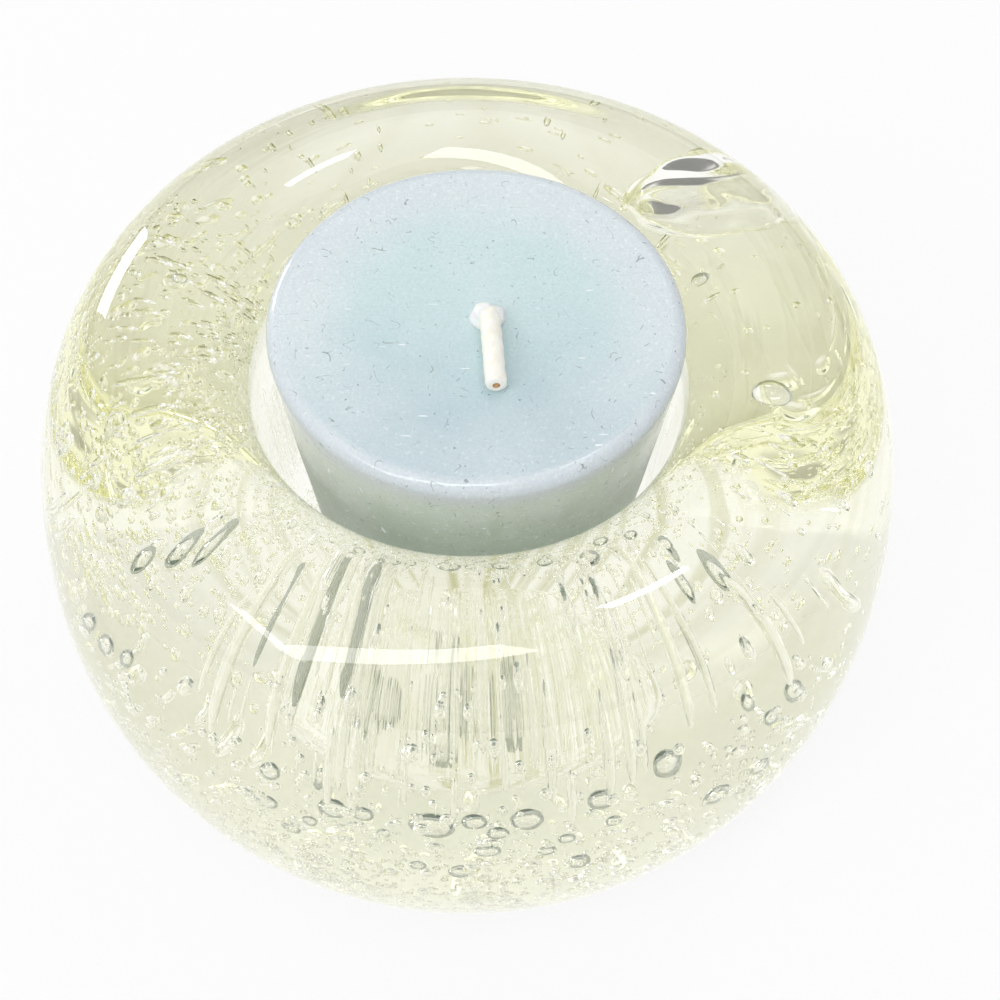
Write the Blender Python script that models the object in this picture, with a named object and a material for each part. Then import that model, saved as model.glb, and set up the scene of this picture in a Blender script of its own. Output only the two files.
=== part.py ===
# Votive candle holder: a heavy ball of clear tinted glass with a recess in its flattened top,
# and a small bare candle standing in the recess. Metres, +Z up. The table is the plane Z = 0 and
# the Z axis runs through the middle of the glass.

import math

import bmesh
import bpy
from mathutils import Matrix, Vector

for old in list(bpy.data.objects):
    bpy.data.objects.remove(old, do_unlink=True)

# Driving sizes of the glass
GLASS_RADIUS = 0.0417  # at the belly, its widest level
BELLY_HEIGHT = 0.0332  # widest level above the table
SHOULDER_HEIGHT = 0.0245  # crest of the rolled rim above the widest level
FOOT_INSET = 0.0157  # how far the ground flat of the foot lies inside the belly
FOOT_BEVEL = 0.0006  # ground bevel round the flat
LIP_RADIUS = 0.0091  # roll of the rim from its crest down into the recess
RECESS_DRAFT = 0.002  # the recess is this much narrower at its floor
RECESS_FILLET = 0.004  # round corner between wall and floor of the recess
SHOULDER_REACH = 0.82  # how far the crest's level line runs out, as a share of the shoulder's width
SHOULDER_DROP = 0.47  # how far the belly's upright line runs up, as a share of the shoulder's height

# Driving sizes of the candle
CANDLE_RADIUS = 0.019  # at the top, the usual size of a small candle
CANDLE_HEIGHT = 0.0375
CANDLE_TAPER = 0.005  # the candle is this much narrower at its bottom
CANDLE_RISE = 0.0023  # top of the candle above the crest of the rim
CANDLE_ROOM = 0.0009  # side clearance between the candle's top size and the recess
CANDLE_SHIFT = 0.0007  # the loose candle stands this far off the middle, along X
TOP_ROUNDING = 0.0008  # round upper edge of the wax
BOTTOM_ROUNDING = 0.0008

# Driving sizes of the wick and of the tin sustainer that holds it
CORE_RADIUS = 0.00035
BRAID_WALL = 0.00035
WICK_SHIFT_X = 0.0011  # the wick stands a little off the candle's middle
WICK_SHIFT_Y = -0.0006
WICK_CLEAR = 0.0006  # room between the lying wick and the wax
WICK_REACH = 0.0083  # free end, from the bend to the cut
WICK_LEAN = math.radians(90)  # from upright to lying over
WICK_SWING = math.radians(4)  # the lying wick points this far off straight forward
CUT_ROUNDING = 0.00015
SUSTAINER_RADIUS = 0.0065
NECK_HEIGHT = 0.0035
SHEET = 0.0003  # thickness of the tin

GAP = 0.0003  # between pieces that touch

# Places and fits that follow from the driving sizes
glass_height = BELLY_HEIGHT + SHOULDER_HEIGHT
foot_radius = GLASS_RADIUS - FOOT_INSET
recess_radius = CANDLE_RADIUS + CANDLE_ROOM
crest_radius = recess_radius + LIP_RADIUS
candle_top = glass_height + CANDLE_RISE
candle_bottom = candle_top - CANDLE_HEIGHT
recess_floor = candle_bottom - GAP
braid_bore = CORE_RADIUS + GAP
wick_radius = braid_bore + BRAID_WALL
wick_hole = wick_radius + GAP
neck_radius = wick_hole + SHEET
bend = Vector((CANDLE_SHIFT + WICK_SHIFT_X, WICK_SHIFT_Y, candle_top + wick_radius + WICK_CLEAR))


def material(name, colour, roughness, metallic=0.0, transmission=0.0):
    """A plain finish for one sub-part."""
    finish = bpy.data.materials.new(name)
    finish.use_nodes = True
    shader = finish.node_tree.nodes["Principled BSDF"]
    shader.inputs["Base Color"].default_value = (*colour, 1.0)
    shader.inputs["Roughness"].default_value = roughness
    shader.inputs["Metallic"].default_value = metallic
    shader.inputs["Transmission Weight"].default_value = transmission
    finish.diffuse_color = (*colour, 1.0)
    return finish


def arc(middle, radius, start, end, steps):
    """Points (r, z) on a circle round middle, between two angles in degrees."""
    points = []
    for i in range(steps + 1):
        angle = math.radians(start + (end - start) * i / steps)
        points.append((middle[0] + radius * math.cos(angle), middle[1] + radius * math.sin(angle)))
    return points


def sweep(start, start_handle, end_handle, end, steps):
    """Points (r, z) on a Bezier curve between start and end."""
    points = []
    for i in range(steps + 1):
        t = i / steps
        weights = ((1 - t) ** 3, 3 * t * (1 - t) ** 2, 3 * t * t * (1 - t), t ** 3)
        corners = (start, start_handle, end_handle, end)
        points.append(tuple(sum(w * c[k] for w, c in zip(weights, corners)) for k in (0, 1)))
    return points


def turned(name, outline, steps, finish, ring=False):
    """A solid turned round its own Z axis from points (r, z) that run down its outer side.
    An outline that doesn't touch the axis is a ring and closes on itself."""
    shape = bmesh.new()
    corners = []
    for r, z in outline:
        if not corners or (corners[-1].co - Vector((r, 0, z))).length > 1e-7:
            corners.append(shape.verts.new((r, 0, z)))
    for a, b in zip(corners, corners[1:]):
        shape.edges.new((a, b))
    if ring:
        shape.edges.new((corners[-1], corners[0]))
    bmesh.ops.spin(
        shape,
        geom=shape.verts[:] + shape.edges[:],
        axis=(0, 0, 1),
        cent=(0, 0, 0),
        angle=2 * math.pi,
        steps=steps,
        use_merge=True,
    )
    bmesh.ops.remove_doubles(shape, verts=shape.verts[:], dist=1e-7)
    bmesh.ops.recalc_face_normals(shape, faces=shape.faces[:])
    mesh = bpy.data.meshes.new(name)
    shape.to_mesh(mesh)
    shape.free()
    mesh.shade_smooth()
    mesh.set_sharp_from_angle(angle=math.radians(35))
    mesh.materials.append(finish)
    piece = bpy.data.objects.new(name, mesh)
    bpy.context.scene.collection.objects.link(piece)
    return piece


def glass_outline():
    """Recess floor and wall, rolled rim, shoulder, belly and foot, from the axis and back to it."""
    floor_radius = recess_radius - RECESS_DRAFT
    crest = (crest_radius, glass_height)
    belly = (GLASS_RADIUS, BELLY_HEIGHT)
    reach = SHOULDER_REACH * (GLASS_RADIUS - crest_radius)
    drop = SHOULDER_DROP * SHOULDER_HEIGHT
    fillet_middle = (floor_radius - RECESS_FILLET, recess_floor + RECESS_FILLET)
    lip_middle = (crest_radius, glass_height - LIP_RADIUS)
    # Below the belly the side is part of an ellipse that meets the table at the foot's radius
    foot_angle = math.acos(foot_radius / GLASS_RADIUS)
    depth = BELLY_HEIGHT / math.sin(foot_angle)
    bevel_top = FOOT_BEVEL / depth

    points = [(0, recess_floor)]
    points += arc(fillet_middle, RECESS_FILLET, -90, 0, 4)
    points += arc(lip_middle, LIP_RADIUS, 180, 90, 10)
    points += sweep(
        crest, (crest_radius + reach, glass_height), (GLASS_RADIUS, BELLY_HEIGHT + drop), belly, 14
    )
    last_angle = math.asin(math.sin(foot_angle) - bevel_top)
    for i in range(1, 11):
        angle = last_angle * i / 10
        points.append((GLASS_RADIUS * math.cos(angle), BELLY_HEIGHT - depth * math.sin(angle)))
    points += [(foot_radius - FOOT_BEVEL, 0), (0, 0)]
    return points


def candle_outline():
    """Flat top, round edges and a side that narrows downwards."""
    foot = CANDLE_RADIUS - CANDLE_TAPER
    top_middle = (CANDLE_RADIUS - TOP_ROUNDING, CANDLE_HEIGHT - TOP_ROUNDING)
    points = [(0, CANDLE_HEIGHT)]
    points += arc(top_middle, TOP_ROUNDING, 90, 0, 5)
    points += arc((foot - BOTTOM_ROUNDING, BOTTOM_ROUNDING), BOTTOM_ROUNDING, 0, -90, 3)
    points.append((0, 0))
    return points


def wick_pocket_outline():
    """What is cut out of the wax for the sustainer's disc, its neck and the wick."""
    above = CANDLE_HEIGHT + GAP
    pocket_top = SHEET + GAP
    neck_top = NECK_HEIGHT + GAP
    neck_hole = neck_radius + GAP
    disc_hole = SUSTAINER_RADIUS + GAP
    return [
        (0, above), (wick_hole, above), (wick_hole, neck_top), (neck_hole, neck_top),
        (neck_hole, pocket_top), (disc_hole, pocket_top), (disc_hole, -GAP), (0, -GAP),
    ]


def sustainer_outline():
    """A flat disc with a short upright neck, both of the same sheet."""
    return [
        (wick_hole, NECK_HEIGHT), (neck_radius, NECK_HEIGHT), (neck_radius, SHEET),
        (SUSTAINER_RADIUS, SHEET), (SUSTAINER_RADIUS, 0), (wick_hole, 0),
    ]


def stem_outline(height):
    """The upright braid, a tube whose round top is centred on the bend."""
    opening = math.degrees(math.acos(braid_bore / wick_radius))
    points = arc((0, height), wick_radius, opening, 0, 4)
    points += [(wick_radius, 0), (braid_bore, 0)]
    return points


def tip_outline(start, end):
    """The free braid, a tube from just past the bend to the rounded cut."""
    points = [(braid_bore, end)]
    points += arc((wick_radius - CUT_ROUNDING, end - CUT_ROUNDING), CUT_ROUNDING, 90, 0, 2)
    points += arc((wick_radius - CUT_ROUNDING, start + CUT_ROUNDING), CUT_ROUNDING, 0, -90, 2)
    points.append((braid_bore, start))
    return points


def rod_outline(radius, bottom, top):
    """A plain round rod."""
    return [(0, top), (radius, top), (radius, bottom), (0, bottom)]


# Glass body
turned(
    "glass_body",
    glass_outline(),
    72,
    material("olive_tinted_glass", (0.80, 0.82, 0.62), 0.02, transmission=1.0),
)

# Candle wax, with the pocket for the wick and the sustainer
candle = turned("candle_wax", candle_outline(), 56, material("pale_blue_wax", (0.55, 0.70, 0.74), 0.45))
candle.location = (CANDLE_SHIFT, 0, candle_bottom)
pocket = turned("wick_pocket", wick_pocket_outline(), 24, material("cutter", (0.5, 0.5, 0.5), 0.5))
pocket.location = (bend.x, bend.y, candle_bottom)
pocket.hide_render = True
pocket.display_type = "WIRE"
cut = candle.modifiers.new("pocket", "BOOLEAN")
cut.operation = "DIFFERENCE"
cut.solver = "EXACT"
cut.object = pocket

# Tin sustainer under the wax
tin = material("tin_plate", (0.72, 0.72, 0.70), 0.3, metallic=1.0)
sustainer = turned("wick_sustainer", sustainer_outline(), 24, tin, ring=True)
sustainer.location = (bend.x, bend.y, candle_bottom)

# Wick inside the candle, with its core
cotton = material("waxed_cotton", (0.88, 0.85, 0.74), 0.6)
core = material("brown_paper_core", (0.45, 0.22, 0.08), 0.8)
stem_foot = Vector((bend.x, bend.y, candle_bottom))
stem_height = bend.z - candle_bottom
stem = turned("wick_stem", stem_outline(stem_height), 16, cotton, ring=True)
stem.location = stem_foot
stem_core = turned("wick_stem_core", rod_outline(CORE_RADIUS, 0, stem_height + GAP), 10, core)
stem_core.location = stem_foot

# Free end of the wick, lying over the wax. It turns about the bend, on the empty's X axis.
bend_axis = bpy.data.objects.new("wick_bend_axis", None)
bend_axis.matrix_world = (
    Matrix.Translation(bend) @ Matrix.Rotation(WICK_SWING, 4, "Z") @ Matrix.Rotation(WICK_LEAN, 4, "X")
)
bpy.context.scene.collection.objects.link(bend_axis)
tip_start = wick_radius + GAP
tip = turned("wick_tip", tip_outline(tip_start, WICK_REACH), 16, cotton, ring=True)
tip.parent = bend_axis
tip_core = turned("wick_tip_core", rod_outline(CORE_RADIUS, tip_start + GAP, WICK_REACH), 10, core)
tip_core.parent = bend_axis
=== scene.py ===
import math

import bmesh
import bpy
from mathutils import Euler, Matrix, Vector, noise


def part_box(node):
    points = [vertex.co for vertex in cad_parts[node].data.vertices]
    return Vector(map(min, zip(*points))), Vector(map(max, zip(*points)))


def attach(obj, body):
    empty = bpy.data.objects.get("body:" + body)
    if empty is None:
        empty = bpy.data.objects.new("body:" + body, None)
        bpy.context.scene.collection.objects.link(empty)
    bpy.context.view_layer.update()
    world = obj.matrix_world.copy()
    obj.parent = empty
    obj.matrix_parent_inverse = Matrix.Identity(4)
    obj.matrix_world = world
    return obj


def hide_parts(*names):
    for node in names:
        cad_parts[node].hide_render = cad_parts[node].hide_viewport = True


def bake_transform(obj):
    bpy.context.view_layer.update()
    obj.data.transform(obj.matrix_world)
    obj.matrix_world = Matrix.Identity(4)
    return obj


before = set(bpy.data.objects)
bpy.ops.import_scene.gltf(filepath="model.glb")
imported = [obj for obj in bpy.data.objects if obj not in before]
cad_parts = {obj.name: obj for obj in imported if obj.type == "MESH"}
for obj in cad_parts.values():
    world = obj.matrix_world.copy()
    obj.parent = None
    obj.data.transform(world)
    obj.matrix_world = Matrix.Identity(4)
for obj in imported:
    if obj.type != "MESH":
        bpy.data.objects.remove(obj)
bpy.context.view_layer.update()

# Camera
# A close view from the front, looking down at about fifty degrees. The photograph's outline of the
# glass gave the distance, the lens and the place of the rim in the picture.
RIM_PIXEL = (464.0, 334.7)  # middle of the rim's top, in a 1000 x 1000 picture
PICTURE = 1000
FOCAL_PIXELS = 2189
SENSOR_WIDTH = 36.0
CAMERA_DISTANCE = 0.200
CAMERA_ELEVATION = math.radians(50.7)
CAMERA_SIDE = -0.00044  # the camera stands this far off the glass's own axis


def new_object(name, data):
    """An object in the scene, with its data."""
    made = bpy.data.objects.new(name, data)
    bpy.context.scene.collection.objects.link(made)
    return made


glass_low, glass_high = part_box("glass_body")
rim_middle = Vector((CAMERA_SIDE, 0, glass_high.z))
back = Vector((0, -math.cos(CAMERA_ELEVATION), math.sin(CAMERA_ELEVATION)))
right = Vector((1, 0, 0))
up = right.cross(-back)
pitch = math.atan((RIM_PIXEL[1] - PICTURE / 2) / FOCAL_PIXELS)
yaw = math.atan((RIM_PIXEL[0] - PICTURE / 2) / FOCAL_PIXELS * math.cos(pitch))
level = -back * math.cos(pitch) + up * math.sin(pitch)
up = up * math.cos(pitch) + back * math.sin(pitch)
forward = level * math.cos(yaw) - right * math.sin(yaw)
right = right * math.cos(yaw) + level * math.sin(yaw)
camera = new_object("camera", bpy.data.cameras.new("camera"))
camera.data.sensor_width = SENSOR_WIDTH
camera.data.lens = FOCAL_PIXELS / PICTURE * SENSOR_WIDTH
camera.data.clip_start = 0.01
turned_view = Matrix((right, up, -forward)).transposed().to_4x4()
camera.matrix_world = Matrix.Translation(rim_middle + back * CAMERA_DISTANCE) @ turned_view
scene = bpy.context.scene
scene.camera = camera
scene.view_settings.view_transform = "Standard"
scene.cycles.max_bounces = 32
scene.cycles.transmission_bounces = 32
scene.cycles.glossy_bounces = 16
scene.cycles.transparent_max_bounces = 16


# Table and light
# A plain white table in an even white room. Windows overhead and a low one at the back left give
# the bright bands on the glass, and a faint ceiling fills in between them.
def add(tree, kind, inputs=None, **settings):
    """A node with its settings and inputs, each input a value or another node's output."""
    made = tree.nodes.new(kind)
    for name, value in settings.items():
        setattr(made, name, value)
    for name, value in (inputs or {}).items():
        if isinstance(value, bpy.types.NodeSocket):
            tree.links.new(value, made.inputs[name])
        else:
            made.inputs[name].default_value = value
    return made


def math_node(tree, operation, a, b=0.0):
    """A number from one or two numbers."""
    return add(tree, "ShaderNodeMath", {0: a, 1: b}, operation=operation).outputs[0]


def vector_node(tree, operation, a, b=(0, 0, 0)):
    """A vector from one or two vectors, or the number that is their length or dot product."""
    made = add(tree, "ShaderNodeVectorMath", {0: a, 1: b}, operation=operation)
    return made.outputs["Value" if operation in ("LENGTH", "DOT_PRODUCT") else "Vector"]


def ramp(tree, value, low, high, start=0.0, end=1.0, kind="SMOOTHSTEP"):
    """A number that goes from start to end while value goes from low to high."""
    made = {"Value": value, "From Min": low, "From Max": high, "To Min": start, "To Max": end}
    return add(tree, "ShaderNodeMapRange", made, interpolation_type=kind).outputs[0]


def noise_node(tree, vector, scale, detail):
    """Soft noise, mostly between 0.3 and 0.7."""
    made = {"Vector": vector, "Scale": scale, "Detail": detail}
    return add(tree, "ShaderNodeTexNoise", made).outputs[0]


def mixed_colour(tree, share, a, b):
    """One colour or the other, by a share from 0 to 1."""
    made = add(tree, "ShaderNodeMix", data_type="RGBA")
    for socket, value in ((0, share), (6, a), (7, b)):
        if isinstance(value, bpy.types.NodeSocket):
            tree.links.new(value, made.inputs[socket])
        else:
            made.inputs[socket].default_value = value
    return made.outputs[2]


def show(tree, output, share, a, b):
    """Makes a mix of two shaders, by a share from 0 to 1, what the output shows."""
    mixed = add(tree, "ShaderNodeMixShader", {0: share, 1: a.outputs[0], 2: b.outputs[0]})
    tree.links.new(mixed.outputs[0], output.inputs["Surface"])


def new_material(name):
    """An empty material, its tree and its output node."""
    made = bpy.data.materials.new(name)
    made.use_nodes = True
    made.node_tree.nodes.clear()
    return made, made.node_tree, made.node_tree.nodes.new("ShaderNodeOutputMaterial")


def seen_directly(tree):
    """1 for rays from the camera and for rays mirrored or bent by a surface, 0 for diffuse light."""
    path = add(tree, "ShaderNodeLightPath").outputs
    mirrored = math_node(tree, "MAXIMUM", path["Is Camera Ray"], path["Is Glossy Ray"])
    return math_node(tree, "MAXIMUM", mirrored, path["Is Transmission Ray"])


TABLE_SIZE = 3.0
TABLE_GAP = 0.0002  # from the foot down to the table
TABLE_WHITE = (0.92, 0.90, 0.91, 1)
TABLE_GLOW = 0.86  # share of plain white in what the camera sees of the table, over its shaded white
SHADOW_TINT = (0.42, 0.42, 0.10, 1)  # the table's colour in the deepest shadow
RAY_SHADE = 0.5  # how deep the rays in the holder's shadow are, in what its glass shows of the table
FRONT_SHADE = 0.15  # how deep its even part in front of the holder is
FRONT = (-0.2, -0.98, 0)  # the middle of that part
table_finish, tree, output = new_material("white_table")
path = add(tree, "ShaderNodeLightPath").outputs
shaded = math_node(tree, "MULTIPLY", path["Is Camera Ray"], 1 - TABLE_GLOW)
glow_share = math_node(tree, "SUBTRACT", seen_directly(tree), shaded)
spot = add(tree, "ShaderNodeTexCoord").outputs["Object"]
reach = vector_node(tree, "LENGTH", spot)
heading = vector_node(tree, "NORMALIZE", spot)
# Painted shadow: rays and an even patch of shade in front of the holder, seen on the table only through
# the glass.
rays = ramp(tree, noise_node(tree, heading, 9.0, 3.0), 0.46, 0.66, end=RAY_SHADE)
ahead = add(tree, "ShaderNodeSeparateXYZ", {0: heading}).outputs["Y"]
rays = math_node(tree, "MULTIPLY", rays, ramp(tree, ahead, 0.45, -0.05, start=0.3))
front = vector_node(tree, "DOT_PRODUCT", heading, FRONT)
shadow = math_node(tree, "ADD", rays, ramp(tree, front, 0.75, 0.95, end=FRONT_SHADE))
shadow = math_node(tree, "MULTIPLY", shadow, ramp(tree, reach, 0.14, 0.06))
shadow = math_node(tree, "MULTIPLY", shadow, path["Is Transmission Ray"])
white_or_painted_shadow = mixed_colour(tree, shadow, (1, 1, 1, 1), SHADOW_TINT)
lit = add(tree, "ShaderNodeBsdfDiffuse", {"Color": TABLE_WHITE})
glow = add(tree, "ShaderNodeEmission", {"Color": white_or_painted_shadow, "Strength": 1.0})
show(tree, output, glow_share, lit, glow)
mesh = bpy.data.meshes.new("table")
half = TABLE_SIZE / 2
corners = [(-half, -half), (half, -half), (half, half), (-half, half)]
mesh.from_pydata([(x, y, glass_low.z - TABLE_GAP) for x, y in corners], [], [(0, 1, 2, 3)])
mesh.materials.append(table_finish)
table = new_object("table", mesh)

ROOM_LIGHT = 0.62  # what the room gives to matt surfaces
WALL_SHADE = 0.8  # how much darker the room is at the level of the table, in what glass shows
BACK_SHADE = 0.8  # how much darker it is behind the holder
BEHIND = (-0.12, 0.97, 0.2)  # the middle of that darker part
ROOM_PATCHES = 0.5  # how much darker some parts of the room are
world = bpy.data.worlds.new("white_room")
world.use_nodes = True
scene.world = world
tree = world.node_tree
tree.nodes.clear()
way = add(tree, "ShaderNodeTexCoord").outputs["Generated"]
rise = add(tree, "ShaderNodeSeparateXYZ", {0: way}).outputs["Z"]
rise = math_node(tree, "ABSOLUTE", rise)
walls = ramp(tree, rise, 0.16, 0.03, end=WALL_SHADE)
behind = ramp(tree, vector_node(tree, "DOT_PRODUCT", way, BEHIND), 0.93, 0.985, end=BACK_SHADE)
patches = ramp(tree, noise_node(tree, way, 3.8, 2.0), 0.50, 0.60, end=ROOM_PATCHES)
patches = math_node(tree, "MULTIPLY", patches, ramp(tree, rise, 0.70, 0.92, start=1.0, end=0.0))
shade = math_node(tree, "MAXIMUM", walls, behind)
shade = math_node(tree, "MAXIMUM", shade, patches)
camera_ray = add(tree, "ShaderNodeLightPath").outputs["Is Camera Ray"]
shade = math_node(tree, "MULTIPLY", shade, math_node(tree, "SUBTRACT", 1.0, camera_ray))
bright = math_node(tree, "SUBTRACT", 1.0, shade)
lit = add(tree, "ShaderNodeBackground", {"Color": (1, 1, 1, 1), "Strength": ROOM_LIGHT})
shown = add(tree, "ShaderNodeBackground", {"Color": (1, 1, 1, 1), "Strength": bright})
show(tree, tree.nodes.new("ShaderNodeOutputWorld"), seen_directly(tree), lit, shown)


def lamp(name, place, size, turn, brightness, through=True):
    """A flat lamp whose radiance is brightness. It faces down, or by a turn of three angles."""
    light = bpy.data.lights.new(name, "AREA")
    light.shape = "RECTANGLE"
    light.size, light.size_y = size
    light.energy = brightness * math.pi * size[0] * size[1]
    made = new_object(name, light)
    made.location = place
    made.rotation_euler = [math.radians(a) for a in turn]
    made.visible_transmission = through
    return made


LONG_WINDOW = ((-0.55, -0.76, 1.06), (1.66, 0.24), (0, 0, 34.5))
lamp("long_window", *LONG_WINDOW, 5.8, through=False)
lamp("long_window_in_glass", *LONG_WINDOW, 1.2)
lamp("end_window", (-1.08, -0.88, 1.06), (0.16, 0.90), (0, 0, -11), 7)
lamp("small_window", (0.29, 0.21, 1.06), (0.17, 0.11), (0, 0, 38), 12)
ceiling = lamp("ceiling", (0, 0.25, 1.2), (1.6, 1.5), (0, 0, 0), 0.4)
ceiling.visible_diffuse = False
lamp("low_window", (-0.64, 0.76, 0.22), (0.24, 0.26), (-90, 0, 40), 10)

# Glass body
# One heavy piece of clear glass with a faint olive tint, a ball with a rolled rim round a deep
# recess and a flat foot. Its skin is a little wavy, and the recess has fine upright mould lines.
BELLY_HEIGHT = 0.0332
FOOT_RADIUS = 0.026
FOOT_BEVEL = 0.0006
LIP_RADIUS = 0.0091
CREST_RADIUS = 0.029  # of the rim's highest circle
RECESS_DEPTH = 0.0355
RECESS_DRAFT = 0.002  # how much smaller the recess's radius is at its floor than at its lip
RECESS_FILLET = 0.004
SHOULDER_REACH = 0.82  # how far out the curve from the crest sets off level, as a share of its width
SHOULDER_DROP = 0.47  # how far above the belly it ends upright, as a share of its height
BELLY_STEPS = 50
TURNS = 256
WAVINESS = 0.0001  # how deep the waves of the skin go, inwards only
WAVE_SCALE = 55.0
STILL_BELOW = 0.0002  # the foot's own face stays flat
SAME_POINT = 1e-7
WELD = 1e-6


def arc(middle, radius, start, end, steps):
    """Points (r, z) on a circle round middle, between two angles in degrees."""
    angles = [math.radians(start + (end - start) * i / steps) for i in range(steps + 1)]
    return [(middle[0] + radius * math.cos(a), middle[1] + radius * math.sin(a)) for a in angles]


def sweep(start, start_handle, end_handle, end, steps):
    """Points (r, z) on a Bezier curve between start and end."""
    points = []
    for i in range(steps + 1):
        t = i / steps
        weights = ((1 - t) ** 3, 3 * t * (1 - t) ** 2, 3 * t * t * (1 - t), t ** 3)
        corners = (start, start_handle, end_handle, end)
        points.append(tuple(sum(w * c[k] for w, c in zip(weights, corners)) for k in (0, 1)))
    return points


def straight(start, end, steps):
    """Points (r, z) on a line, without its first point."""
    return [tuple(a + (b - a) * i / steps for a, b in zip(start, end)) for i in range(1, steps + 1)]


def outline_object(name, points):
    """A line of points (r, z), kept as a mesh of loose points at (r, 0, z)."""
    kept = [points[0]]
    for p in points[1:]:
        if math.dist(p, kept[-1]) > SAME_POINT:
            kept.append(p)
    mesh = bpy.data.meshes.new(name)
    mesh.from_pydata([(r, 0, z) for r, z in kept], [], [])
    return new_object(name, mesh)


def new_tree(name, inputs):
    """A geometry tree with a Geometry input and output and named inputs."""
    tree = bpy.data.node_groups.new(name, "GeometryNodeTree")
    tree.interface.new_socket("Geometry", in_out="INPUT", socket_type="NodeSocketGeometry")
    kinds = {"INT": "NodeSocketInt", "FLOAT": "NodeSocketFloat", "MATERIAL": "NodeSocketMaterial"}
    for socket, kind in inputs.items():
        tree.interface.new_socket(socket, in_out="INPUT", socket_type=kinds[kind])
    tree.interface.new_socket("Geometry", in_out="OUTPUT", socket_type="NodeSocketGeometry")
    return tree, tree.nodes.new("NodeGroupInput"), tree.nodes.new("NodeGroupOutput")


def finished(base, tree, values, name):
    """Runs a geometry tree on the object and returns its result as a plain mesh object."""
    modifier = base.modifiers.new("shape", "NODES")
    modifier.node_group = tree
    for item in tree.interface.items_tree:
        if item.in_out == "INPUT" and item.name in values:
            modifier[item.identifier] = values[item.name]
    seen = bpy.context.evaluated_depsgraph_get()
    made = new_object(name, bpy.data.meshes.new_from_object(base.evaluated_get(seen)))
    bpy.data.objects.remove(base)
    return made


turn_inputs = {"Turns": "INT", "Waviness": "FLOAT", "Wave Scale": "FLOAT", "Still Below": "FLOAT"}
turn_tree, given, result = new_tree("turned_outline", {**turn_inputs, "Material": "MATERIAL"})
count = add(turn_tree, "GeometryNodeAttributeDomainSize", {0: given.outputs["Geometry"]})
columns = add(turn_tree, "FunctionNodeIntegerMath", {0: given.outputs["Turns"], 1: 1}).outputs[0]
grid = {"Vertices X": count.outputs["Point Count"], "Vertices Y": columns}
grid = add(turn_tree, "GeometryNodeMeshGrid", grid)
index = add(turn_tree, "GeometryNodeInputIndex").outputs[0]
row = add(turn_tree, "FunctionNodeIntegerMath", {0: index, 1: columns}, operation="DIVIDE")
column = add(turn_tree, "FunctionNodeIntegerMath", {0: index, 1: columns}, operation="MODULO")
place = add(turn_tree, "GeometryNodeInputPosition")
sample = add(turn_tree, "GeometryNodeSampleIndex", data_type="FLOAT_VECTOR")
turn_tree.links.new(given.outputs["Geometry"], sample.inputs["Geometry"])
turn_tree.links.new(place.outputs[0], sample.inputs["Value"])
turn_tree.links.new(row.outputs[0], sample.inputs["Index"])
share = math_node(turn_tree, "DIVIDE", column.outputs[0], given.outputs["Turns"])
angle = math_node(turn_tree, "MULTIPLY", share, 2 * math.pi)
swung = {"Vector": sample.outputs[0], "Angle": angle}
swung = add(turn_tree, "ShaderNodeVectorRotate", swung, rotation_type="Z_AXIS")
moved = {"Geometry": grid.outputs["Mesh"], "Position": swung.outputs[0]}
moved = add(turn_tree, "GeometryNodeSetPosition", moved)
closed = {"Geometry": moved.outputs[0], "Distance": WELD}
closed = add(turn_tree, "GeometryNodeMergeByDistance", closed)
here = add(turn_tree, "GeometryNodeInputPosition").outputs[0]
height = add(turn_tree, "ShaderNodeSeparateXYZ", {0: here}).outputs["Z"]
waves = noise_node(turn_tree, here, given.outputs["Wave Scale"], 1.5)
depth = math_node(turn_tree, "MULTIPLY", waves, given.outputs["Waviness"])
moving = math_node(turn_tree, "GREATER_THAN", height, given.outputs["Still Below"])
depth = math_node(turn_tree, "MULTIPLY", depth, moving)
depth = math_node(turn_tree, "MULTIPLY", depth, -1.0)
normal = add(turn_tree, "GeometryNodeInputNormal").outputs[0]
inwards = add(turn_tree, "ShaderNodeVectorMath", {0: normal, "Scale": depth}, operation="SCALE")
waved = {"Geometry": closed.outputs[0], "Offset": inwards.outputs[0]}
waved = add(turn_tree, "GeometryNodeSetPosition", waved)
smooth = add(turn_tree, "GeometryNodeSetShadeSmooth", {"Geometry": waved.outputs[0]})
dressed = {"Geometry": smooth.outputs[0], "Material": given.outputs["Material"]}
dressed = add(turn_tree, "GeometryNodeSetMaterial", dressed)
turn_tree.links.new(dressed.outputs[0], result.inputs[0])


def glass_side(below):
    """The outside (r, z) from the crest to the foot, or only what lies below a height."""
    height = glass_high.z
    radius = glass_high.x
    reach = SHOULDER_REACH * (radius - CREST_RADIUS)
    drop = SHOULDER_DROP * (height - BELLY_HEIGHT)
    crest = (CREST_RADIUS, height)
    belly = (radius, BELLY_HEIGHT)
    points = sweep(crest, (CREST_RADIUS + reach, height), (radius, BELLY_HEIGHT + drop), belly, 60)
    foot_angle = math.acos(FOOT_RADIUS / radius)
    depth = BELLY_HEIGHT / math.sin(foot_angle)
    last = math.asin(math.sin(foot_angle) - FOOT_BEVEL / depth)
    for i in range(1, BELLY_STEPS + 1):
        a = last * i / BELLY_STEPS
        points.append((radius * math.cos(a), BELLY_HEIGHT - depth * math.sin(a)))
    points.append((FOOT_RADIUS - FOOT_BEVEL, 0))
    points += straight(points[-1], (0, 0), 8)
    return [p for p in points if p[1] <= below]


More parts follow.
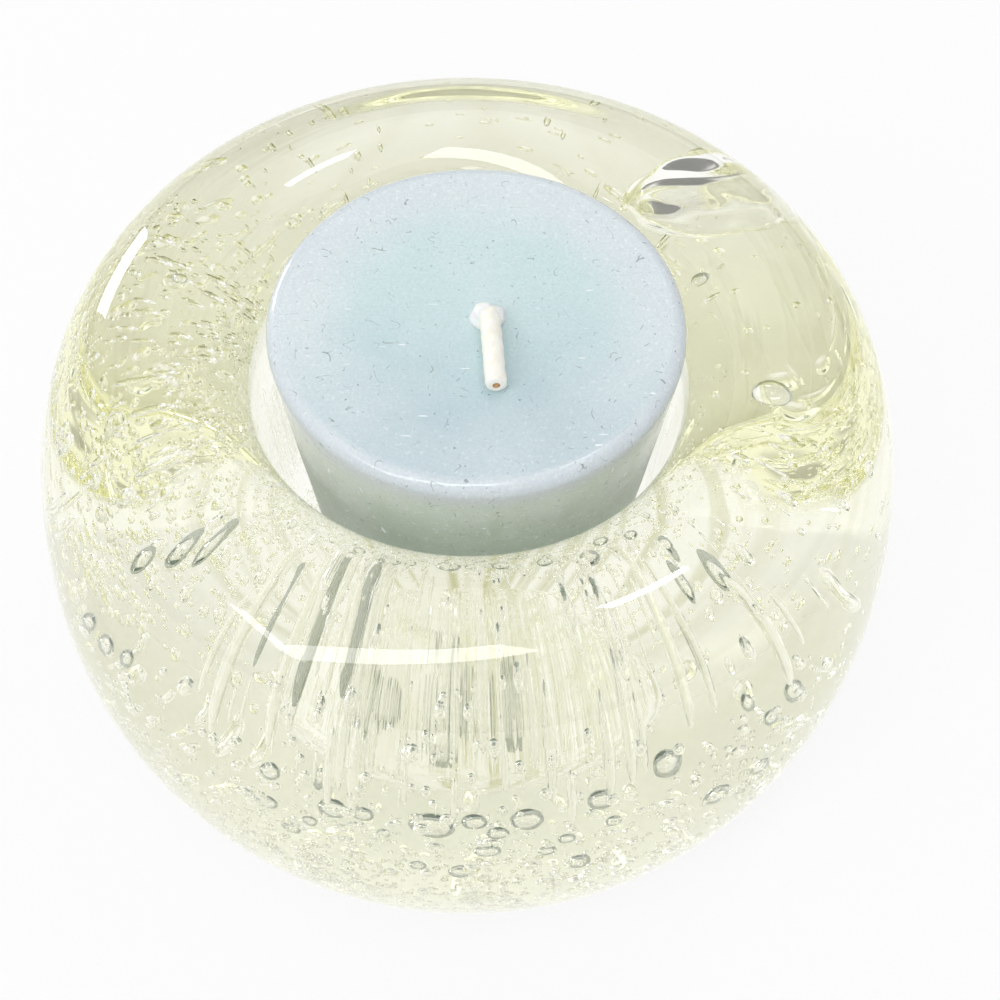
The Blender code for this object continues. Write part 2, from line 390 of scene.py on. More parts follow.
def glass_outline():
    """Recess floor and wall, rolled rim, outside and foot, from the axis and back to it."""
    height = glass_high.z
    recess_floor = height - RECESS_DEPTH
    wall_radius = CREST_RADIUS - LIP_RADIUS
    floor_radius = wall_radius - RECESS_DRAFT
    fillet = arc((floor_radius - RECESS_FILLET, recess_floor + RECESS_FILLET), RECESS_FILLET, -90, 0, 10)
    lip = arc((CREST_RADIUS, height - LIP_RADIUS), LIP_RADIUS, 180, 90, 40)
    points = [(0, recess_floor)] + straight((0, recess_floor), fillet[0], 8) + fillet
    points += straight(fillet[-1], lip[0], 24) + lip
    return points + glass_side(height)


GLASS_ABSORBS = (0.965, 0.965, 0.71, 1)
GLASS_DENSITY = 9.0
GLASS_INDEX = 1.5
FOOT_ROUGHNESS = 0.5  # the foot is ground flat and left matt
LINE_DEPTH = 0.0007  # of the upright lines, which fade out near the rim and low on the wall
WALL_REACH = 0.0004  # how far outside its radius the wall still counts as wall


def principled(tree, output, values):
    """A Principled shader, as what the output shows."""
    made = add(tree, "ShaderNodeBsdfPrincipled", values)
    tree.links.new(made.outputs[0], output.inputs["Surface"])
    return made


glass_finish, tree, output = new_material("olive_tinted_glass")
spot = add(tree, "ShaderNodeTexCoord").outputs["Object"]
parts = add(tree, "ShaderNodeSeparateXYZ", {0: spot}).outputs
flat_spot = vector_node(tree, "MULTIPLY", spot, (1, 1, 0))
radius = vector_node(tree, "LENGTH", flat_spot)
lines = noise_node(tree, vector_node(tree, "NORMALIZE", flat_spot), 22.0, 3.0)
on_wall = math_node(tree, "LESS_THAN", radius, CREST_RADIUS - LIP_RADIUS + WALL_REACH)
upper = ramp(tree, parts["Z"], 0.024, 0.034, end=0.8, kind="LINEAR")
fading = ramp(tree, parts["Z"], 0.046, 0.038, start=0.1, kind="LINEAR")
upper = math_node(tree, "MULTIPLY", upper, fading)
strength = math_node(tree, "MULTIPLY", on_wall, upper)
bump = {"Height": lines, "Strength": strength, "Distance": LINE_DEPTH}
bump = add(tree, "ShaderNodeBump", bump)
ground = ramp(tree, parts["Z"], 0.0003, 0.0001, end=FOOT_ROUGHNESS, kind="LINEAR")
clear = {"Base Color": (1, 1, 1, 1), "IOR": GLASS_INDEX, "Transmission Weight": 1.0}
principled(tree, output, {**clear, "Roughness": ground, "Normal": bump.outputs[0]})
tint = add(tree, "ShaderNodeVolumeAbsorption", {"Color": GLASS_ABSORBS, "Density": GLASS_DENSITY})
tree.links.new(tint.outputs[0], output.inputs["Volume"])

glass_sizes = {"Turns": TURNS, "Waviness": WAVINESS, "Wave Scale": WAVE_SCALE, "Still Below": STILL_BELOW}
glass = outline_object("glass_outline", glass_outline())
glass = finished(glass, turn_tree, {**glass_sizes, "Material": glass_finish}, "cast_glass")
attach(glass, "glass")
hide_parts("glass_body")

# Seed bubbles
# Thousands of small bubbles, thick in the mass under the recess and along its wall, and thin at
# the back right. A bubble is a ball of air in the glass, so its index is one over the glass's.
bubble_finish, tree, output = new_material("air_in_glass")
air = {**clear, "Roughness": 0.0, "IOR": 1 / GLASS_INDEX}
principled(tree, output, air)


def random_node(tree, seed):
    """A random number from 0 to 1 for each point."""
    made = add(tree, "FunctionNodeRandomValue", data_type="FLOAT")
    for socket, value in (("Min", 0.0), ("Max", 1.0), ("Seed", seed)):
        [s for s in made.inputs if s.name == socket and s.enabled][0].default_value = value
    return [s for s in made.outputs if s.enabled][0]


BACK_RIGHT = (0.6, 0.8, 0)
SKIN_BIAS = 1.4  # above 1, so that more of them lie near the surface
SMALL_BIAS = 2.4  # above 1, so that most of them are small
seed_inputs = {
    "Per Square Metre": "FLOAT", "Seed": "INT", "Depth Min": "FLOAT", "Depth Max": "FLOAT",
    "Smallest": "FLOAT", "Largest": "FLOAT", "Flatness": "FLOAT", "Around": "INT",
    "Recess Radius": "FLOAT", "Recess Floor": "FLOAT", "Foot Clear": "FLOAT", "Back Right Share": "FLOAT",
    "Material": "MATERIAL",
}
seed_tree, given, result = new_tree("seed_bubbles", seed_inputs)
clumps = add(seed_tree, "ShaderNodeTexNoise", {"Scale": 130.0, "Detail": 2.0}).outputs[0]
clumps = ramp(seed_tree, clumps, 0.40, 0.62, kind="LINEAR")
density = math_node(seed_tree, "MULTIPLY", clumps, given.outputs["Per Square Metre"])
here = add(seed_tree, "GeometryNodeInputPosition").outputs[0]
away = vector_node(seed_tree, "DOT_PRODUCT", here, BACK_RIGHT)
thinned = given.outputs["Back Right Share"]
thinning = ramp(seed_tree, away, -0.002, 0.024, start=1.0, end=thinned, kind="LINEAR")
density = math_node(seed_tree, "MULTIPLY", density, thinning)
points = {"Mesh": given.outputs["Geometry"], "Density": density, "Seed": given.outputs["Seed"]}
points = add(seed_tree, "GeometryNodeDistributePointsOnFaces", points)
sinking = math_node(seed_tree, "POWER", random_node(seed_tree, 1), SKIN_BIAS)
reach = math_node(seed_tree, "SUBTRACT", given.outputs["Depth Max"], given.outputs["Depth Min"])
sinking = math_node(seed_tree, "MULTIPLY", sinking, reach)
sinking = math_node(seed_tree, "ADD", sinking, given.outputs["Depth Min"])
sinking = math_node(seed_tree, "MULTIPLY", sinking, -1.0)
inwards = {0: points.outputs["Normal"], "Scale": sinking}
inwards = add(seed_tree, "ShaderNodeVectorMath", inwards, operation="SCALE")
sunk = {"Geometry": points.outputs["Points"], "Offset": inwards.outputs[0]}
sunk = add(seed_tree, "GeometryNodeSetPosition", sunk)
here = add(seed_tree, "GeometryNodeInputPosition").outputs[0]
height = add(seed_tree, "ShaderNodeSeparateXYZ", {0: here}).outputs["Z"]
radius = vector_node(seed_tree, "LENGTH", vector_node(seed_tree, "MULTIPLY", here, (1, 1, 0)))
near_axis = math_node(seed_tree, "LESS_THAN", radius, given.outputs["Recess Radius"])
above_floor = math_node(seed_tree, "GREATER_THAN", height, given.outputs["Recess Floor"])
lost = math_node(seed_tree, "MULTIPLY", near_axis, above_floor)
too_low = math_node(seed_tree, "LESS_THAN", height, given.outputs["Foot Clear"])
lost = math_node(seed_tree, "MAXIMUM", lost, too_low)
kept = {"Geometry": sunk.outputs[0], "Selection": lost}
kept = add(seed_tree, "GeometryNodeDeleteGeometry", kept)
size = math_node(seed_tree, "POWER", random_node(seed_tree, 2), SMALL_BIAS)
spread = math_node(seed_tree, "SUBTRACT", given.outputs["Largest"], given.outputs["Smallest"])
size = math_node(seed_tree, "MULTIPLY", size, spread)
size = math_node(seed_tree, "ADD", size, given.outputs["Smallest"])
flat_size = math_node(seed_tree, "MULTIPLY", size, given.outputs["Flatness"])
size = add(seed_tree, "ShaderNodeCombineXYZ", {"X": size, "Y": size, "Z": flat_size})
rings = add(seed_tree, "FunctionNodeIntegerMath", {0: given.outputs["Around"], 1: 2}, operation="SUBTRACT")
ball = {"Radius": 1.0, "Segments": given.outputs["Around"], "Rings": rings.outputs[0]}
ball = add(seed_tree, "GeometryNodeMeshUVSphere", ball)
placed = {"Points": kept.outputs[0], "Instance": ball.outputs["Mesh"], "Scale": size.outputs[0]}
placed = add(seed_tree, "GeometryNodeInstanceOnPoints", placed)
real = add(seed_tree, "GeometryNodeRealizeInstances", {"Geometry": placed.outputs[0]})
smooth = add(seed_tree, "GeometryNodeSetShadeSmooth", {"Geometry": real.outputs[0]})
dressed = {"Geometry": smooth.outputs[0], "Material": given.outputs["Material"]}
dressed = add(seed_tree, "GeometryNodeSetMaterial", dressed)
seed_tree.links.new(dressed.outputs[0], result.inputs[0])


RECESS_CLEAR = 0.0008  # least glass between a seed's middle and the recess's wall
FLOOR_CLEAR = 0.0012  # and the recess's floor
FOOT_CLEAR = 0.0009  # and the foot


def seeds(name, outline, sizes):
    """One field of bubbles beneath a turned surface of the glass."""
    skin = outline_object(name + "_outline", outline)
    plain = {"Turns": 96, "Waviness": 0.0, "Material": bubble_finish}
    skin = finished(skin, turn_tree, plain, name + "_skin")
    limits = {
        "Recess Radius": CREST_RADIUS - LIP_RADIUS + RECESS_CLEAR,
        "Recess Floor": glass_high.z - RECESS_DEPTH - FLOOR_CLEAR,
        "Foot Clear": FOOT_CLEAR, "Material": bubble_finish,
    }
    made = finished(skin, seed_tree, {**sizes, **limits}, name)
    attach(made, "glass")


fine = {"Per Square Metre": 1600000.0, "Seed": 3, "Depth Min": 0.0006, "Depth Max": 0.014}
fine = {**fine, "Smallest": 0.00016, "Largest": 0.00045, "Flatness": 0.8, "Around": 6}
seeds("fine_seeds", glass_side(0.032), {**fine, "Back Right Share": 0.08})
coarse = {"Per Square Metre": 270000.0, "Seed": 8, "Depth Min": 0.0011, "Depth Max": 0.018}
coarse = {**coarse, "Smallest": 0.00025, "Largest": 0.0008, "Flatness": 0.75, "Around": 8}
seeds("coarse_seeds", glass_side(0.028), {**coarse, "Back Right Share": 0.02})
WALL_SEED_DEPTH = 0.001  # outside the recess's wall
WALL_SEEDS_FOOT = glass_high.z - RECESS_DEPTH - 0.003
UPRIGHT_SEEDS_FOOT = 0.027
WALL_SEEDS_TOP = 0.042
wall_radius = CREST_RADIUS - LIP_RADIUS + WALL_SEED_DEPTH
wall_top = (wall_radius, WALL_SEEDS_TOP)
wall_line = [(wall_radius, WALL_SEEDS_FOOT)]
wall_line += straight(wall_line[0], wall_top, 12)
near_wall = {"Per Square Metre": 500000.0, "Seed": 5, "Depth Min": 0.0002, "Depth Max": 0.0065}
near_wall = {**near_wall, "Smallest": 0.00014, "Largest": 0.0006, "Flatness": 0.95, "Around": 8}
seeds("wall_seeds", wall_line, {**near_wall, "Back Right Share": 0.25})
upright_line = [(wall_radius, UPRIGHT_SEEDS_FOOT)]
upright_line += straight(upright_line[0], wall_top, 12)
upright = {"Per Square Metre": 300000.0, "Seed": 11, "Depth Min": -0.0002, "Depth Max": 0.0022}
upright = {**upright, "Smallest": 0.00012, "Largest": 0.00055, "Flatness": 8.0, "Around": 8}
seeds("upright_seeds", upright_line, {**upright, "Back Right Share": 0.1})

# Large bubbles
# The bubbles that can be told apart: a ring of them hangs below the recess's lower edge, tall
# ones stand along its wall, and one wide torn bubble lies in the shoulder at the back right.
BUBBLE_ROUGHNESS = 0.10
LARGE_BUBBLES = (
    # x, y, z of the middle, then half sizes across, to and fro, and up, in millimetres
    (-2.5, -20.8, 23.6, 1.65, 1.2, 1.0),
    (0.4, -21.0, 24.3, 0.9, 0.8, 0.55),
    (4.0, -20.6, 24.1, 1.2, 1.0, 0.9),
    (9.1, -19.0, 24.5, 1.05, 0.9, 0.8),
    (13.4, -16.2, 25.1, 1.1, 0.95, 1.1),
    (-9.2, -18.8, 23.3, 1.05, 0.9, 0.8),
    (-10.1, -18.3, 25.8, 0.5, 0.5, 1.0),
    (-13.3, -16.1, 24.4, 0.75, 0.7, 0.6),
    (-13.6, -17.2, 21.8, 0.85, 0.75, 0.6),
    (-7.2, -19.7, 23.7, 0.75, 0.7, 0.5),
    (-5.9, -21.2, 22.8, 0.5, 0.5, 0.4),
    (2.0, -21.9, 23.7, 0.8, 0.7, 0.5),
    (1.3, -22.9, 22.1, 1.0, 0.8, 0.6),
    (5.5, -22.3, 21.2, 0.7, 0.6, 0.55),
    (-0.6, -24.0, 19.9, 0.9, 0.8, 0.7),
    (7.9, -22.7, 19.4, 0.85, 0.8, 0.7),
    (6.9, -21.9, 22.4, 0.65, 0.6, 0.5),
    (16.9, -15.8, 19.9, 1.1, 1.0, 1.0),
    (19.4, -12.5, 19.2, 0.9, 0.8, 0.8),
    (19.6, -10.2, 23.3, 0.6, 0.6, 0.7),
    (20.7, -7.6, 23.2, 0.75, 0.7, 0.9),
    (18.3, -10.6, 25.1, 0.45, 0.45, 0.5),
    (10.0, -19.6, 22.3, 0.6, 0.6, 0.5),
    (-12.0, -18.3, 19.6, 0.7, 0.6, 0.6),
    (-10.8, -19.1, 21.7, 0.55, 0.5, 0.5),
    (-3.6, -22.8, 19.7, 0.65, 0.6, 0.5),
    (-12.4, -17.3, 33.6, 0.55, 0.5, 3.2),
    (-9.4, -19.0, 34.0, 0.5, 0.45, 2.2),
    (-15.6, -14.6, 32.6, 0.45, 0.4, 2.6),
    (-18.4, -11.2, 32.0, 0.45, 0.4, 2.4),
    (-23.3, -5.9, 25.4, 0.7, 0.6, 0.8),
    (-22.4, -8.0, 26.4, 0.5, 0.5, 0.7),
    (-23.6, -3.0, 24.5, 0.6, 0.6, 0.6),
    (18.7, -9.8, 30.0, 0.45, 0.4, 3.0),
    (16.6, -13.0, 31.5, 0.5, 0.45, 3.4),
    (28.2, -3.6, 50.6, 1.5, 1.3, 0.35),
    (22.6, 9.9, 53.4, 0.7, 1.0, 0.3),
    (-28.0, 10.5, 50.2, 0.6, 0.5, 0.3),
)


def ball_object(name, rings, around):
    """A ball of radius 1 as a closed mesh."""
    shape = bmesh.new()
    bmesh.ops.create_uvsphere(shape, u_segments=around, v_segments=rings, radius=1.0)
    mesh = bpy.data.meshes.new(name)
    shape.to_mesh(mesh)
    shape.free()
    mesh.shade_smooth()
    return new_object(name, mesh)


shape = bmesh.new()
for number, values in enumerate(LARGE_BUBBLES):
    middle = Vector(values[:3]) / 1000
    half_sizes = Vector(values[3:]) / 1000
    turn = math.atan2(middle.y, middle.x) + math.pi / 2
    made = bmesh.ops.create_uvsphere(shape, u_segments=20, v_segments=12, radius=1.0)
    for v in made["verts"]:
        rough = 1 + BUBBLE_ROUGHNESS * noise.noise(v.co * 1.3 + Vector((7.0 * number, 0, 0)))
        sized = Vector(a * b * rough for a, b in zip(v.co, half_sizes))
        sized.rotate(Euler((0, 0, turn)))
        v.co = middle + sized
mesh = bpy.data.meshes.new("large_bubbles")
shape.to_mesh(mesh)
shape.free()
mesh.shade_smooth()
# Painted shade: what a bubble mirrors at a glancing angle is dimmed by the mirror's own colour, standing
# in for a dim room round it.
MIRROR_PAINTED_SHADE = (0.55, 0.58, 0.56, 1)
mirror_finish, tree, output = new_material("large_air_in_glass")
glancing = add(tree, "ShaderNodeFresnel", {"IOR": 1 / GLASS_INDEX}).outputs[0]
mirror = add(tree, "ShaderNodeBsdfAnisotropic", {"Color": MIRROR_PAINTED_SHADE, "Roughness": 0.0})
show(tree, output, glancing, add(tree, "ShaderNodeBsdfPrincipled", air), mirror)
mesh.materials.append(mirror_finish)
bubbles = new_object("large_bubbles", mesh)
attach(bubbles, "glass")

TORN_MIDDLE = Vector((0.0236, 0.0205, 0.0512))
TORN_HALF = (0.0076, 0.0048, 0.0013)
TORN_TURN = Euler([math.radians(a) for a in (-12, -6, -26)])
TORN_ROUGHNESS = 0.22
torn = ball_object("torn_bubble", 32, 56)
for v in torn.data.vertices:
    rough = 1 + TORN_ROUGHNESS * noise.noise(v.co * 1.6 + Vector((0.7, 4.0, 0)))
    sized = Vector(a * b * rough for a, b in zip(v.co, TORN_HALF))
    sized.rotate(TORN_TURN)
    v.co = TORN_MIDDLE + sized
torn.data.materials.append(bubble_finish)
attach(torn, "glass")

# Candle wax
# A small bare candle of pale blue wax, a little rough, with a soft round edge that is paler than
# the rest. Its side is painted greener and darker downwards, and the top's front half darker, as
# painted shade. Its underside has the CAD's pocket for the sustainer.
wax_low, wax_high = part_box("candle_wax")
tin_low, tin_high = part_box("wick_sustainer")
WAX_TAPER = 0.005
WAX_TOP_ROUNDING = 0.0012
WAX_FOOT_ROUNDING = 0.0008
wax_middle = (wax_low + wax_high) / 2
wax_radius = (wax_high.x - wax_low.x) / 2
wax_height = wax_high.z - wax_low.z
wax_foot = wax_radius - WAX_TAPER
top_round = (wax_radius - WAX_TOP_ROUNDING, wax_height - WAX_TOP_ROUNDING)
wax_points = [(0, wax_height)]
wax_points += straight(wax_points[0], (top_round[0], wax_height), 30)
wax_points += arc(top_round, WAX_TOP_ROUNDING, 90, 0, 12)[1:]
foot_round = arc((wax_foot - WAX_FOOT_ROUNDING, WAX_FOOT_ROUNDING), WAX_FOOT_ROUNDING, 0, -90, 5)
wax_points += straight(wax_points[-1], foot_round[0], 60) + foot_round[1:]
wax_points += straight(foot_round[-1], (0, 0), 8)
wax_points = wax_points[::-1]

WAX_BLUE = (0.615, 0.765, 0.775, 1)
WAX_FRONT_PAINTED_SHADE = (0.46, 0.595, 0.645, 1)  # the top's front half, painted darker as shade
WAX_PALE = (0.72, 0.79, 0.82, 1)  # the top towards its edge
WAX_EDGE = (0.69, 0.75, 0.79, 1)  # the edge's rounding
# Painted shade: the side is painted greener and darker than the top, as the recess's shade and olive light
# make it look.
WAX_SIDE_PAINTED_SHADE = (0.64, 0.735, 0.645, 1)
WAX_LOW_PAINTED_SHADE = (0.44, 0.53, 0.43, 1)  # the side down in the recess, painted darker still as its shade
WAX_WHITE = (0.86, 0.90, 0.92, 1)  # clouds, frost and scratches
WAX_DUST = (0.30, 0.38, 0.40, 1)
WAX_SPECK = (0.14, 0.18, 0.18, 1)  # fibres and specks


def spots(tree, vector, scale, low, high, detail=2.0):
    """A mask of noise, 1 where the noise is above high."""
    return ramp(tree, noise_node(tree, vector, scale, detail), low, high)


def stretched(tree, vector, turn, scale):
    """A vector turned and stretched, for marks that run one way."""
    made = {"Vector": vector, "Rotation": [math.radians(a) for a in turn], "Scale": scale}
    return add(tree, "ShaderNodeMapping", made).outputs[0]


wax_finish, tree, output = new_material("pale_blue_wax")
spot = add(tree, "ShaderNodeTexCoord").outputs["Object"]
parts = add(tree, "ShaderNodeSeparateXYZ", {0: spot}).outputs
from_axis = vector_node(tree, "SUBTRACT", spot, (wax_middle.x, 0, 0))
from_axis = vector_node(tree, "LENGTH", vector_node(tree, "MULTIPLY", from_axis, (1, 1, 0)))
# Painted shade: the top's front half is darker, and its pale edge fainter there, as if the light came from
# the back.
front = ramp(tree, parts["Y"], 0.006, -0.017)
colour = mixed_colour(tree, front, WAX_BLUE, WAX_FRONT_PAINTED_SHADE)
pale = ramp(tree, from_axis, wax_radius - 0.010, wax_radius - 0.0025)
pale_share = math_node(tree, "SUBTRACT", 1.0, math_node(tree, "MULTIPLY", front, 0.55))
pale = math_node(tree, "MULTIPLY", pale, pale_share)
colour = mixed_colour(tree, pale, colour, WAX_PALE)
edge = ramp(tree, from_axis, wax_radius - 0.0016, wax_radius - 0.0006)
colour = mixed_colour(tree, edge, colour, WAX_EDGE)
# Painted shade: the side goes greener and then darker downwards, as the shade in the recess makes it look.
lower = ramp(tree, parts["Z"], wax_high.z - 0.0035, wax_high.z - 0.0085)
painted_shade_colour = mixed_colour(tree, lower, WAX_SIDE_PAINTED_SHADE, WAX_LOW_PAINTED_SHADE)
side = ramp(tree, parts["Z"], wax_high.z - 0.0011, wax_high.z - 0.0040)
colour = mixed_colour(tree, side, colour, painted_shade_colour)
cloud = math_node(tree, "MULTIPLY", spots(tree, spot, 160.0, 0.38, 0.70, 5.0), 0.16)
colour = mixed_colour(tree, cloud, colour, WAX_WHITE)
dust = math_node(tree, "MULTIPLY", spots(tree, spot, 3600.0, 0.30, 0.70, 3.0), 0.16)
colour = mixed_colour(tree, dust, colour, WAX_DUST)
near_edge = math_node(tree, "ADD", math_node(tree, "MULTIPLY", pale, 0.5), 0.15)
frost = math_node(tree, "MULTIPLY", spots(tree, spot, 2300.0, 0.60, 0.70), near_edge)
colour = mixed_colour(tree, frost, colour, WAX_WHITE)
bends = add(tree, "ShaderNodeTexNoise", {"Vector": spot, "Scale": 420.0, "Detail": 1.0, "Distortion": 0.6})
bends = math_node(tree, "ABSOLUTE", math_node(tree, "SUBTRACT", bends.outputs[0], 0.5))
fibres = ramp(tree, bends, 0.008, 0.003)
fibres = math_node(tree, "MULTIPLY", fibres, spots(tree, spot, 800.0, 0.58, 0.60, 1.0))
specks = spots(tree, spot, 1900.0, 0.715, 0.74)
marks = math_node(tree, "MULTIPLY", math_node(tree, "MAXIMUM", fibres, specks), 0.6)
colour = mixed_colour(tree, marks, colour, WAX_SPECK)
scratch = stretched(tree, spot, (0, 0, -38), (500, 2600, 500))
scratch = spots(tree, scratch, 1.0, 0.74, 0.77, 1.0)
colour = mixed_colour(tree, scratch, colour, WAX_WHITE)
grain = noise_node(tree, spot, 1400.0, 3.0)
depth = ramp(tree, edge, 0, 1, start=0.25, end=0.06, kind="LINEAR")
bump = add(tree, "ShaderNodeBump", {"Height": grain, "Strength": depth, "Distance": 0.0002})
principled(tree, output, {
    "Base Color": colour, "Subsurface Weight": 0.3, "Subsurface Scale": 0.001,
    "Subsurface Radius": (0.8, 1.0, 1.0), "Normal": bump.outputs[0],
    "Roughness": ramp(tree, edge, 0, 1, start=0.38, end=0.12, kind="LINEAR"),
})

wax_sizes = {"Turns": 160, "Waviness": 0.0001, "Wave Scale": 260.0, "Still Below": 0.004}
wax = outline_object("wax_outline", wax_points)
wax = finished(wax, turn_tree, {**wax_sizes, "Material": wax_finish}, "wax")
wax.data.transform(Matrix.Translation((wax_middle.x, wax_middle.y, wax_low.z)))

tin_middle = (tin_low + tin_high) / 2
NECK_POCKET = 0.0019  # radius of the pocket round the sustainer's neck
NECK_ROOM = 0.0003  # over the neck
DISC_POCKET = 0.0068  # and round its disc
DISC_HEIGHT = 0.0006  # of that wider part
PAST_WAX = 0.001  # how far the cutting shape reaches out of the wax
neck_top = tin_high.z + NECK_ROOM
disc_top = tin_low.z + DISC_HEIGHT
opening = tin_low.z - PAST_WAX
pocket_points = [
    (0, neck_top), (NECK_POCKET, neck_top), (NECK_POCKET, disc_top),
    (DISC_POCKET, disc_top), (DISC_POCKET, opening), (0, opening),
]
pocket = outline_object("pocket_outline", pocket_points)
pocket = finished(pocket, turn_tree, {"Turns": 48, "Waviness": 0.0, "Material": wax_finish}, "pocket")
pocket.data.transform(Matrix.Translation((tin_middle.x, tin_middle.y, 0)))
cut = wax.modifiers.new("pocket", "BOOLEAN")
cut.operation = "DIFFERENCE"
cut.solver = "EXACT"
cut.object = pocket
seen = bpy.context.evaluated_depsgraph_get()
candle = new_object("bare_candle", bpy.data.meshes.new_from_object(wax.evaluated_get(seen)))
bpy.data.objects.remove(pocket)
bpy.data.objects.remove(wax)
candle.data.set_sharp_from_angle(angle=math.radians(50))
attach(candle, "candle")
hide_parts("candle_wax")

# Tin sustainer
# The CAD's own disc and neck, in plain bright tin with faint rolling marks.
tin_finish, tree, output = new_material("tin_plate")
spot = add(tree, "ShaderNodeTexCoord").outputs["Object"]
marks = spots(tree, stretched(tree, spot, (0, 0, 20), (400, 4000, 400)), 1.0, 0.3, 0.7)
colour = mixed_colour(tree, marks, (0.66, 0.66, 0.64, 1), (0.76, 0.76, 0.75, 1))
principled(tree, output, {"Base Color": colour, "Metallic": 1.0, "Roughness": 0.32})
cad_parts["wick_sustainer"].data.materials[0] = tin_finish

# Wick
# One waxed cotton wick from the sustainer up through the wax, bent over just above it towards
# the front. It bends between the candle and its free end, and its brown core shows at the cut.
stem_low, stem_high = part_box("wick_stem")
tip_low, tip_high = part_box("wick_tip")
WICK_SWING = math.radians(4)
WICK_RADIUS = 0.00094
BEND_RADIUS = 0.0010
CORE_RADIUS = 0.00035
WICK_STEP = 0.0006  # between rings on the upright part
BEND_STEPS = 8
TIP_STEPS = 20
CORE_INSET = 0.0001  # from the wick's foot up to its core's
END_CLEAR = 0.00003  # keeps the end inside the CAD's tip
bend = (stem_low + stem_high) / 2
bend.z = (tip_low.z + tip_high.z) / 2
tip_way = Vector((math.sin(WICK_SWING), -math.cos(WICK_SWING), 0))
tip_reach = (bend.y - tip_low.y) / math.cos(WICK_SWING) - END_CLEAR


def wick_path(start_height, end_reach):
    """Points and ways along the wick, up from a height and then out to a reach."""
    path = []
    corner_low = bend + Vector((0, 0, -BEND_RADIUS))
    steps = max(2, int((corner_low.z - start_height) / WICK_STEP))
    for i in range(steps):
        z = start_height + (corner_low.z - start_height) * i / steps
        path.append((Vector((bend.x, bend.y, z)), Vector((0, 0, 1))))
    middle = corner_low + tip_way * BEND_RADIUS
    for i in range(BEND_STEPS + 1):
        a = math.radians(90 * i / BEND_STEPS)
        place = middle - tip_way * BEND_RADIUS * math.cos(a) + Vector((0, 0, BEND_RADIUS * math.sin(a)))
        path.append((place, Vector((0, 0, math.cos(a))) + tip_way * math.sin(a)))
    for i in range(1, TIP_STEPS + 1):
        reach = BEND_RADIUS + (end_reach - BEND_RADIUS) * i / TIP_STEPS
        path.append((bend + tip_way * reach, tip_way))
    return path


WEAVE_DEPTH = 0.035  # of the braid, as a share of the radius
WEAVE_PITCH = 3800  # radians of its twist in a metre
BUMP_DEPTH = 0.08  # as a share of the radius
BUMP_SCALE = 1500
# The rounded end: each ring's share of the radius, and how many radii it lies past the path's end
END_RINGS = ((0.97, 0.06), (0.86, 0.12), (0.62, 0.15), (0.30, 0.155))
END_LENGTH = 0.16  # in radii
END_NARROWING = 0.98


def tube(name, path, radius, around, rough, end_rings, finish):
    """A closed tube along a path, a little uneven, with a flat start and a flat or rounded end."""
    shape = bmesh.new()
    across = Vector((0, 0, 1)).cross(tip_way)
    angles = [2 * math.pi * j / around for j in range(around)]
    rings = []
    length = 0.0
    for i, (place, way) in enumerate(path):
        if i:
            length += (place - path[i - 1][0]).length
        side = way.cross(across)
        ring = []
        for a in angles:
            out = across * math.cos(a) + side * math.sin(a)
            twist = length * WEAVE_PITCH
            uneven = WEAVE_DEPTH * (math.sin(4 * a + twist) + math.sin(4 * a - twist))
            uneven += BUMP_DEPTH * noise.noise((place + out * radius) * BUMP_SCALE)
            ring.append(shape.verts.new(place + out * radius * (1 + rough * uneven)))
        rings.append(ring)
    outs = [across * math.cos(a) + side * math.sin(a) for a in angles]
    for share, ahead in end_rings:
        middle = place + way * radius * ahead
        ring = [shape.verts.new(middle + out * radius * share * END_NARROWING) for out in outs]
        rings.append(ring)
    for low, high in zip(rings, rings[1:]):
        for j in range(around):
            k = (j + 1) % around
            shape.faces.new((low[j], low[k], high[k], high[j]))
    shape.faces.new(rings[0][::-1])
    shape.faces.new(rings[-1])
    bmesh.ops.recalc_face_normals(shape, faces=shape.faces[:])
    mesh = bpy.data.meshes.new(name)
    shape.to_mesh(mesh)
    shape.free()
    mesh.shade_smooth()
    mesh.set_sharp_from_angle(angle=math.radians(60))
    mesh.materials.append(finish)
    return new_object(name, mesh)


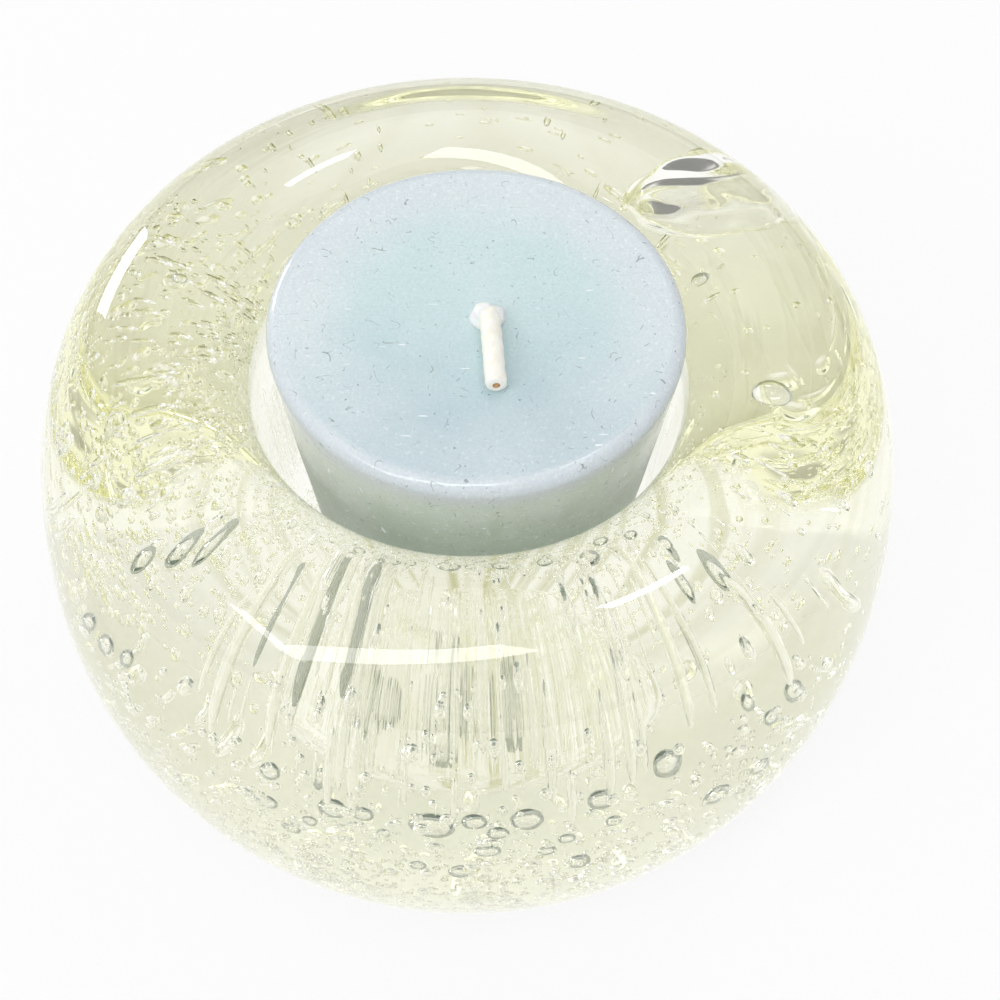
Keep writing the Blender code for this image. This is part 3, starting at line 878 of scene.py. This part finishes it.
cotton_finish, tree, output = new_material("waxed_cotton")
spot = add(tree, "ShaderNodeTexCoord").outputs["Object"]
stain = spots(tree, spot, 700.0, 0.45, 0.70, 3.0)
colour = mixed_colour(tree, stain, (0.97, 0.96, 0.87, 1), (0.93, 0.90, 0.77, 1))
white = spots(tree, spot, 1100.0, 0.55, 0.68, 2.0)
colour = mixed_colour(tree, white, colour, (0.95, 0.94, 0.92, 1))
grain = noise_node(tree, spot, 3500.0, 2.0)
bump = add(tree, "ShaderNodeBump", {"Height": grain, "Strength": 0.35, "Distance": 0.0002})
principled(tree, output, {
    "Base Color": colour, "Roughness": 0.55, "Subsurface Weight": 0.2, "Subsurface Scale": 0.0005,
    "Normal": bump.outputs[0],
})

core_finish, tree, output = new_material("brown_paper_core")
spot = add(tree, "ShaderNodeTexCoord").outputs["Object"]
stain = spots(tree, spot, 2500.0, 0.35, 0.65)
colour = mixed_colour(tree, stain, (0.45, 0.20, 0.07, 1), (0.62, 0.36, 0.16, 1))
principled(tree, output, {"Base Color": colour, "Roughness": 0.8})

wick_way = wick_path(stem_low.z, tip_reach - WICK_RADIUS * END_LENGTH)
wick = tube("wick", wick_way, WICK_RADIUS, 24, 1.0, END_RINGS, cotton_finish)
core_way = wick_path(stem_low.z + CORE_INSET, tip_reach)
core = tube("wick_core", core_way, CORE_RADIUS, 10, 0.4, (), core_finish)
for piece, nodes, finish in (
    (wick, ("wick_stem", "wick_tip"), "cotton"),
    (core, ("wick_stem_core", "wick_tip_core"), "wick_core"),
):
    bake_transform(piece)
    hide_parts(*nodes)

# Wax crumb
# A little ridge of white wax that was left round the wick where it leaves the candle.
CRUMB_MIDDLE = Vector((bend.x - 0.0001, bend.y + 0.0005, wax_high.z + 0.0004))
CRUMB_HALF = (0.0016, 0.0014, 0.0011)
CRUMB_LUMPS = 0.30
CRUMB_GRAIN = 0.10
crumb = ball_object("wax_crumb", 20, 32)
for v in crumb.data.vertices:
    rough = 1 + CRUMB_LUMPS * noise.noise(v.co * 1.2 + Vector((0, 5.0, 0)))
    rough += CRUMB_GRAIN * noise.noise(v.co * 4)
    sized = Vector(a * b * rough for a, b in zip(v.co, CRUMB_HALF))
    v.co = CRUMB_MIDDLE + sized
crumb_finish, tree, output = new_material("white_wax")
spot = add(tree, "ShaderNodeTexCoord").outputs["Object"]
cloud = spots(tree, spot, 900.0, 0.4, 0.6)
colour = mixed_colour(tree, cloud, (0.88, 0.90, 0.90, 1), (0.95, 0.95, 0.94, 1))
shader = {"Base Color": colour, "Roughness": 0.4, "Subsurface Weight": 0.3, "Subsurface Scale": 0.001}
principled(tree, output, shader)
crumb.data.materials.append(crumb_finish)
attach(crumb, "candle")
